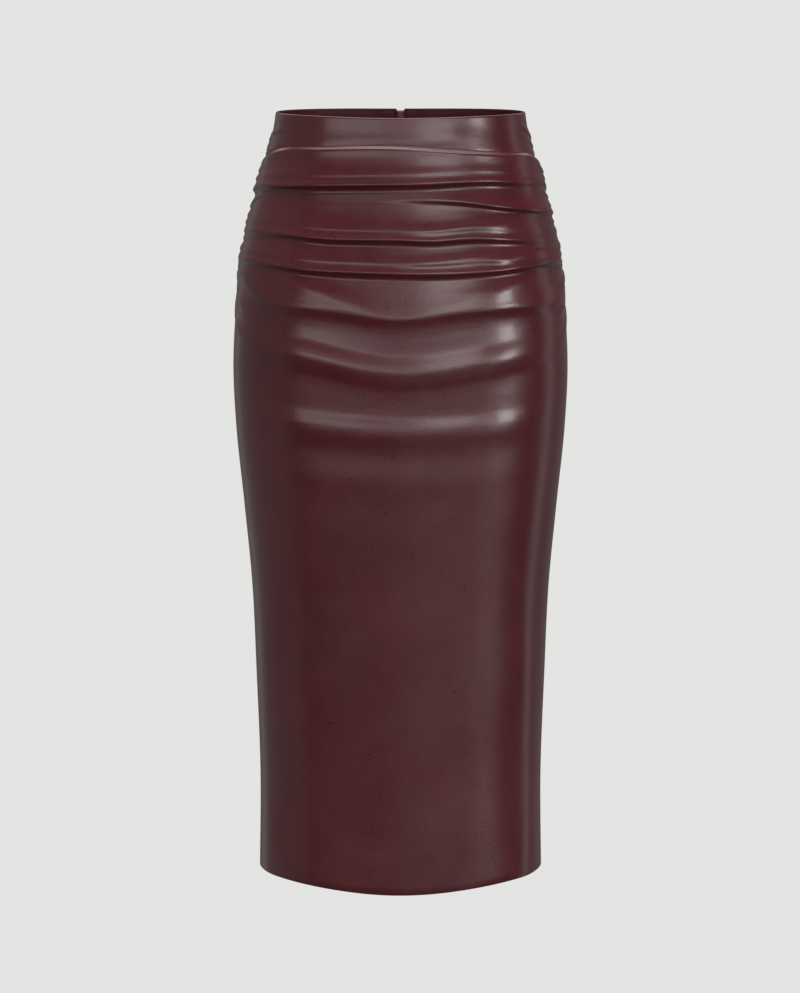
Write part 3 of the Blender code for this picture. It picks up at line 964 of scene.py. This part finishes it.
@dataclass
class FrontPanel:
    """The front, in one piece, ruched into both side seams."""

    cloth: float = 1.4 * MM
    hem_cloth: float = 2.5 * MM
    hem_turn: float = 32 * MM
    gap: float = 0.3 * MM
    seam_roll: float = 1.3 * MM
    waist_roll: float = 1.2 * MM
    hem_roll: float = 1.3 * MM
    facing_depth: float = 40 * MM
    spans: int = 216
    coarse: int = 3

    name = "front_cloth"
    node = "front_panel"
    flat = (0.46, 0.87)
    flat_area = 0.345
    turned = False

    def rows(self) -> FoldRows:
        """The panel's rows."""
        return FoldRows(FRONT_CRESTS)

    def cut(self) -> PanelCut:
        """The panel's place between the two side seams."""
        def radius(drop: Array) -> Array:
            """The body's half width."""
            return FORM.size("half_width", drop)

        def edge(drop: Array) -> Array:
            """Turn of the right edge."""
            return FORM.seam_turn(drop) - np.degrees(self.gap / 2 / radius(drop))

        return PanelCut(lambda drop: -edge(drop), edge, radius, radius, self.seam_roll, self.seam_roll, self.spans)

    def relief(self, turn: Array, drop: Array) -> tuple[Array, Array]:
        """The panel's relief."""
        return front_relief(turn, drop)

    def grid(self) -> tuple[Array, Array, Array]:
        """Turn, drop and inward roll of every point of the panel.

        The rows follow the crests at each point's own station, so turns and drops are found in four rounds.
        """
        rows = self.rows()
        cut = self.cut()
        counts = rows.counts(FORM.side_length / MM)
        counts[-1] += (-sum(counts) - 6) % self.coarse
        top_at, top_in = edge_roll(self.waist_roll)
        end_at, end_in = edge_roll(self.hem_roll)
        column_in = cut.inward()
        drop = np.linspace(0, FORM.side_length, sum(counts) + 1)[:, None] + 0 * column_in
        for _ in range(4):
            turn = cut.turns(drop)
            station = np.abs(station_of(turn, drop)) if self.node != "front_panel" else station_of(turn, drop)
            top = FORM.waist_drop(turn[0]) + self.waist_roll
            end = FORM.hem_drop(turn[-1]) - self.hem_roll
            drop = rows.drops(station, top, end, counts)
        upper = drop[:1] - self.waist_roll + top_at[:, None]
        lower = drop[-1:] + self.hem_roll - end_at[::-1, None]
        drop = np.concatenate([upper, drop, lower])
        row_in = np.concatenate([top_in, np.zeros(len(drop) - 6), end_in[::-1]])
        return cut.turns(drop), drop, np.maximum(row_in[:, None], column_in)

    def wall(self) -> Wall:
        """The panel's closed wall: relief on the body form, with rolled edges."""
        turn, drop, inward = self.grid()
        out, down = self.relief(turn, drop)
        outer = FORM.points(turn, drop + down, out - inward)
        n = self.coarse
        turn, drop, down = turn[::n, ::n], drop[::n, ::n], down[::n, ::n]
        thick = np.where(drop > FORM.hem_drop(turn) - self.hem_turn, self.hem_cloth, self.cloth)
        low = lowest_near(out, n)
        low = np.where(drop < self.facing_depth, np.maximum(low, -0.1 * MM), low)
        inner = FORM.points(turn, drop + down, low - thick - self.inner_roll(drop.shape[1]))
        return Wall(outer, inner, n)

    def inner_roll(self, columns: int) -> Array:
        """How far the inner face is drawn in at each of its columns."""
        return np.zeros(columns)

    def build(self, finishes: "Finishes") -> bpy.types.Object:
        piece = self.wall().build(self.name, (finishes.leather, finishes.backing), self.turned)
        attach(piece, "skirt")
        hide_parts(self.node)
        return piece


@dataclass
class BackPanel(FrontPanel):
    """One back panel, from its side seam to its rolled edge over the zip."""

    side: Side = Side.LEFT
    zip_roll: float = 2.5 * MM
    notch_half_width: float = 4.5 * MM
    notch_depth: float = 20 * MM
    spans: int = 132

    flat = (0.255, 0.86)
    flat_area = 0.19

    def __post_init__(self) -> None:
        """Names the piece by its side."""
        word = self.side.name.lower()
        self.name = f"back_cloth_{word}"
        self.node = f"back_{word}"
        self.turned = self.side is Side.LEFT

    def rows(self) -> FoldRows:
        """The panel's rows."""
        return FoldRows(BACK_CRESTS[self.side], at_crest=0.9, between=1.7, in_swells=3.2, lower=8.5)

    def centre_edge(self, drop: Array) -> Array:
        """Distance of the rolled edge from the centre back line, which opens in a notch at the waist."""
        open_share = np.clip(1 - drop / self.notch_depth, 0, 1)
        return self.gap / 2 + self.notch_half_width * open_share**2

    def cut(self) -> PanelCut:
        """The panel's place between its side seam and the centre back."""
        sign = self.side.value

        def side_radius(drop: Array) -> Array:
            """The body's half width."""
            return FORM.size("half_width", drop)

        def back_radius(drop: Array) -> Array:
            """The body's depth to the back."""
            return FORM.size("back", drop)

        def start(drop: Array) -> Array:
            """Turn of the side edge."""
            return sign * (FORM.seam_turn(drop) + np.degrees(self.gap / 2 / side_radius(drop)))

        def end(drop: Array) -> Array:
            """Turn of the rolled edge."""
            return sign * (180 - np.degrees(self.centre_edge(drop) / back_radius(drop)))

        return PanelCut(start, end, side_radius, back_radius, self.seam_roll, self.zip_roll, self.spans)

    def relief(self, turn: Array, drop: Array) -> tuple[Array, Array]:
        """The panel's relief."""
        return back_relief(self.side, turn, drop)

    def inner_roll(self, columns: int) -> Array:
        """The inner face follows the roll over the zip at its last column."""
        return np.where(np.arange(columns) == columns - 1, self.zip_roll, 0)


@dataclass(frozen=True)
class InnerStrip:
    """A strip of thin cloth inside the skirt, as a closed wall on a grid of turns and drops."""

    name: str
    node: str
    slot: str
    flat: tuple[float, float]
    thickness: float

    def build(self, turn: Array, drop: Array, out: Array, finish: bpy.types.Material) -> bpy.types.Object:
        """Args:
            turn: Turns, from one long edge's left end as seen from outside, row by row.
            drop: Drops, of the same shape.
            out: Place of the outer face, outwards from the body form.
            finish: The strip's material.

        Returns:
            The new object.
        """
        outer = FORM.points(turn, drop, out)
        inner = FORM.points(turn, drop, out - self.thickness)
        turned = bool(turn[0, -1] < turn[0, 0])
        piece = Wall(outer, inner, 1).build(self.name, (finish,), turned)
        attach(piece, "skirt")
        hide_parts(self.node)
        return piece


@dataclass(frozen=True)
class WaistFacing:
    """The facing inside the waist: a front strip and two back strips that end over the zip tapes."""

    depth: float = 38 * MM
    below_edge: float = 1.2 * MM
    thickness: float = 1.0 * MM
    out: float = -1.9 * MM
    from_zip: float = 5.2 * MM
    over_tape: float = 13.4 * MM
    tape_rise: float = 1.6 * MM
    rows: int = 14
    columns: int = 96
    stitch_pitch: float = 2.1 * MM
    stitch_drop: float = 4.2 * MM

    def front(self) -> tuple[Array, Array, Array]:
        """Turn, drop and outward place of the front strip."""
        nominal = np.linspace(-90, 90, self.columns + 1)[None, :]
        drop = FORM.waist_drop(nominal) + np.linspace(self.below_edge, self.depth, self.rows)[:, None]
        return nominal / 90 * (FORM.seam_turn(drop) - 0.1), drop, np.full(drop.shape, self.out)

    def back(self, side: Side) -> tuple[Array, Array, Array]:
        """Turn, drop and outward place of a back strip."""
        panel = BackPanel(side=side)
        share = np.linspace(0, 1, self.columns // 2 + 1)[None, :]
        nominal = 90 + 90 * share
        drop = FORM.waist_drop(nominal) + np.linspace(self.below_edge, self.depth, self.rows)[:, None]
        start = FORM.seam_turn(drop) + 0.1
        radius = FORM.size("back", drop)
        end = 180 - np.degrees((panel.centre_edge(drop) + self.from_zip) / radius)
        turn = start + share * (end - start)
        to_zip = np.radians(180 - turn) * radius - panel.centre_edge(drop)
        out = self.out - self.tape_rise * (1 - ease(to_zip, self.over_tape, 1.5 * self.over_tape))
        return side.value * turn, drop, out

    def stitches(self, finishes: "Finishes") -> bpy.types.Object:
        """Understitching: a row of small eight-sided stitches along the facing, near the waist edge.

        Each stitch is an octahedron, long along the row and flat against the cloth.
        """
        spaces = np.arange(0, 0.345, self.stitch_pitch)
        front = (spaces / 0.345 * 2 - 1) * 87
        back = 93 + spaces / 0.345 * 82
        turn = np.concatenate([front, back[::2], -back[::2]])
        turn = np.sort(np.concatenate([turn, turn + 0.9]))
        drop = FORM.waist_drop(turn) + self.stitch_drop
        lifted = np.where(np.abs(turn) > 165, self.tape_rise, 0)
        out = self.out - self.thickness - lifted
        centre = FORM.points(turn, drop, out)
        along = FORM.points(turn + 0.1, drop, out) - centre
        along /= np.linalg.norm(along, axis=1, keepdims=True)
        outward = FORM.points(turn, drop, out + MM) - centre
        outward /= np.linalg.norm(outward, axis=1, keepdims=True)
        up = np.cross(along, outward)
        shape = ((along, 0.75), (up, 0.22), (-along, 0.75), (-up, 0.22), (outward, 0.2), (-outward, 0.2))
        points = np.stack([centre + axis * size * MM for axis, size in shape], axis=1)
        around = np.array([(k, (k + 1) % 4, 5) for k in range(4)] + [((k + 1) % 4, k, 4) for k in range(4)])
        faces = (np.arange(len(turn))[:, None, None] * 6 + around).reshape(-1, 3)
        piece = add_mesh("facing_stitches", points.reshape(-1, 3), faces.tolist(), (finishes.thread,))
        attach(piece, "skirt")
        return piece

    def build(self, finishes: "Finishes") -> list[bpy.types.Object]:
        """Builds the three strips and their stitching."""
        length = 0.37
        strip = InnerStrip("facing_cloth_front", "facing_front", "facing", (length, self.depth), self.thickness)
        made = [strip.build(*self.front(), finishes.facing)]
        for side in Side:
            word = side.name.lower()
            flat = (0.185, self.depth)
            strip = InnerStrip(f"facing_cloth_{word}", f"facing_back_{word}", "facing", flat, self.thickness)
            made.append(strip.build(*self.back(side), finishes.facing))
        return made + [self.stitches(finishes)]


@dataclass(frozen=True)
class ZipTapes:
    """The two woven tapes of the zip, laid inside the rolled edges, with the coil along each."""

    width: float = 13 * MM
    top: float = 2 * MM
    bottom: float = 205 * MM
    thickness: float = 0.8 * MM
    under_cloth: float = 2.3 * MM
    coil_pitch: float = 1.5 * MM
    coil_radius: float = 0.9 * MM

    def build(self, finishes: "Finishes") -> list[bpy.types.Object]:
        """Builds and dresses both tapes and both coils."""
        made = []
        for side in Side:
            panel = BackPanel(side=side)
            near, near_in = edge_roll(panel.zip_roll)
            along = np.concatenate([near, np.linspace(panel.zip_roll, self.width, 6)])
            inward = np.concatenate([near_in, np.zeros(6)])
            drop = np.linspace(self.top, self.bottom, 120)[:, None] + 0 * along
            radius = FORM.size("back", drop)
            turn = 180 - np.degrees((panel.centre_edge(drop) + along) / radius)
            out = -inward - self.under_cloth + 0 * drop
            word = side.name.lower()
            strip = InnerStrip(f"tape_cloth_{word}", f"zip_tape_{word}", "tape", (self.width, 0.203), self.thickness)
            columns = slice(None, None, -1)
            grid = side.value * turn[:, columns], drop[:, columns], out[:, columns]
            made.append(strip.build(*grid, finishes.tape))
            made.append(self.coil(side, panel, finishes))
        return made

    def coil(self, side: Side, panel: BackPanel, finishes: "Finishes") -> bpy.types.Object:
        """The coil: turns of a flattened spiral beside the rolled edge, as a six-sided tube on its path.

        The path's centre runs down the tape, and the spiral goes round it once each pitch.
        """
        count = int((self.bottom - 24 * MM) / self.coil_pitch) * 6
        drop = np.linspace(20 * MM, self.bottom - 4 * MM, count)
        angle = np.arange(count) * math.pi / 3
        from_edge = panel.centre_edge(drop) + self.coil_radius * (0.7 + np.cos(angle))
        turn = side.value * (180 - np.degrees(from_edge / FORM.size("back", drop)))
        out = -panel.zip_roll - self.under_cloth - self.thickness - 0.7 * MM + 0.5 * self.coil_radius * np.sin(angle)
        path = FORM.points(turn, drop, out)
        along = np.gradient(path, axis=0)
        along /= np.linalg.norm(along, axis=1, keepdims=True)
        across = np.cross(along, (0.0, 0.0, 1.0))
        across /= np.linalg.norm(across, axis=1, keepdims=True)
        up = np.cross(along, across)
        round_about = np.arange(6) * math.pi / 3
        ring = np.cos(round_about)[:, None] * across[:, None] + np.sin(round_about)[:, None] * up[:, None]
        points = (path[:, None] + 0.22 * MM * ring).reshape(-1, 3)
        first = np.arange(count - 1)[:, None] * 6 + np.arange(6)
        second = np.arange(count - 1)[:, None] * 6 + (np.arange(6) + 1) % 6
        quads = np.stack([first, second, second + 6, first + 6], axis=-1).reshape(-1, 4)
        ends = [list(range(5, -1, -1)), list(range(6 * (count - 1), 6 * count))]
        piece = add_mesh(f"coil_{side.name.lower()}", points, quads.tolist() + ends, (finishes.tape,))
        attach(piece, "skirt")
        return piece


def dress_hard_parts(finishes: "Finishes") -> list[bpy.types.Object]:
    """Gives the slider and the pull, which keep their CAD shapes, their lacquer."""
    parts = [bpy.data.objects["zip_slider"], bpy.data.objects["zip_pull"]]
    for part in parts:
        for slot in part.material_slots:
            slot.material = finishes.lacquer
    return parts


# ---------------------------------------------------------------------------------------------------------
# Studio


@dataclass(frozen=True)
class LightPatch:
    """A soft patch of light round the studio: azimuths from the front towards +X and elevations, in degrees."""

    azimuth: tuple[float, float]
    elevation: tuple[float, float]
    strength: float
    side_edge: float = 4.0
    level_edge: float = 6.0


@dataclass(frozen=True)
class Studio:
    """Camera, pale floor and soft light."""

    distance: float = 4.85
    height: float = 0.23
    aim_drop: float = 0.384
    lens: float = 177.23
    floor_below_hem: float = 0.22
    floor_radius: float = 9.0
    pale: tuple[float, float, float] = (0.775, 0.775, 0.765)
    ambient: float = 0.05
    patches: tuple[LightPatch, ...] = (
        LightPatch((-50, -8), (0, 9), 3.6, 3, 2.5),
        LightPatch((-8, 48), (0, 9), 2.2, 3, 2.5),
        LightPatch((48, 60), (-2, 8), 17.0, 2, 2.5),
        LightPatch((6, 32), (7, 19), 5.0, 4, 3),
        LightPatch((-1, 50), (-24, -6), 0.25, 1.5, 3),
        LightPatch((-60, 64), (52, 88), 2.0, 10, 6),
        LightPatch((-150, -62), (-40, 40), 0.24, 4, 10),
        LightPatch((98, 112), (-30, 20), 0.8, 4, 6),
        LightPatch((112, 180), (-40, 40), 0.14, 6, 10),
        LightPatch((-180, -140), (-40, 40), 0.14, 6, 10),
        LightPatch((150, 172), (22, 50), 1.4, 5, 6),
        LightPatch((-172, -140), (22, 50), 1.2, 6, 6),
        LightPatch((-180, 180), (55, 90), 2.6, 1, 8),
    )

    def camera(self) -> None:
        """Adds the camera, level with the waist's upper side and looking slightly down."""
        data = bpy.data.cameras.new("camera")
        data.lens = self.lens
        data.clip_end = 60
        camera = bpy.data.objects.new("camera", data)
        camera.location = (-0.0005, -self.distance, self.height)
        aim = Vector((-0.0005, 0, -self.aim_drop)) - camera.location
        camera.rotation_euler = aim.to_track_quat("-Z", "Y").to_euler()
        bpy.context.scene.collection.objects.link(camera)
        bpy.context.scene.camera = camera

    def floor(self) -> None:
        """Adds the pale floor, a round sheet that shines as evenly as the walls."""
        material, book = new_material("pale_floor")
        glow = book.node("ShaderNodeEmission", {}, {"Color": (*self.pale, 1), "Strength": 1.0})
        book.node("ShaderNodeOutputMaterial", {}, {"Surface": glow.outputs["Emission"]})
        angle = np.linspace(0, 2 * math.pi, 97)[:-1]
        level = np.full(96, -FORM.side_length - self.floor_below_hem)
        points = np.stack([self.floor_radius * np.cos(angle), self.floor_radius * np.sin(angle), level], axis=1)
        floor = add_mesh("floor", points, [list(range(96))], [material])
        floor.visible_glossy = False
        floor.visible_diffuse = False
        floor.visible_shadow = False

    def light(self) -> None:
        """Adds the world: pale to the eye, and a ring of soft light patches to the cloth."""
        world = bpy.data.worlds.new("studio")
        world.use_nodes = True
        bpy.context.scene.world = world
        book = NodeBook(world.node_tree)
        direction = book.node("ShaderNodeTexCoord").outputs["Generated"]
        axes = book.node("ShaderNodeSeparateXYZ", {}, {0: direction})
        x, y, z = (book.value(axes, name) for name in "XYZ")
        azimuth = x.direction_with(-y) * math.degrees(1)
        level = z._math("ARCSINE", z) * math.degrees(1)
        total = azimuth * 0 + self.ambient
        for patch in self.patches:
            wide = azimuth.within(*patch.azimuth, patch.side_edge)
            high = level.within(*patch.elevation, patch.level_edge)
            total = total + wide * high * patch.strength
        soft = book.node("ShaderNodeBackground", {}, {"Color": (1, 0.985, 0.975, 1), "Strength": total})
        plain = book.node("ShaderNodeBackground", {}, {"Color": (*self.pale, 1), "Strength": 1.0})
        seen = book.node("ShaderNodeLightPath").outputs["Is Camera Ray"]
        both = {0: seen, 1: soft.outputs[0], 2: plain.outputs[0]}
        mixed = book.node("ShaderNodeMixShader", {}, both)
        book.node("ShaderNodeOutputWorld", {}, {"Surface": mixed.outputs[0]})

    def build(self) -> None:
        """Adds the camera, floor and light, and plain display of colours."""
        self.camera()
        self.floor()
        self.light()
        bpy.context.scene.view_settings.view_transform = "Standard"


def main() -> None:
    """Builds the studio and the skirt, and reports each piece."""
    logging.basicConfig(level=logging.INFO, format="%(name)s: %(message)s")
    Studio().build()
    finishes = Finishes.build()
    pieces = [FrontPanel().build(finishes)]
    pieces += [BackPanel(side=side).build(finishes) for side in Side]
    pieces += WaistFacing().build(finishes) + ZipTapes().build(finishes) + dress_hard_parts(finishes)
    for piece in pieces:
        log.info("%s has %d faces", piece.name, len(piece.data.polygons))


if __name__ == "__main__":
    main()
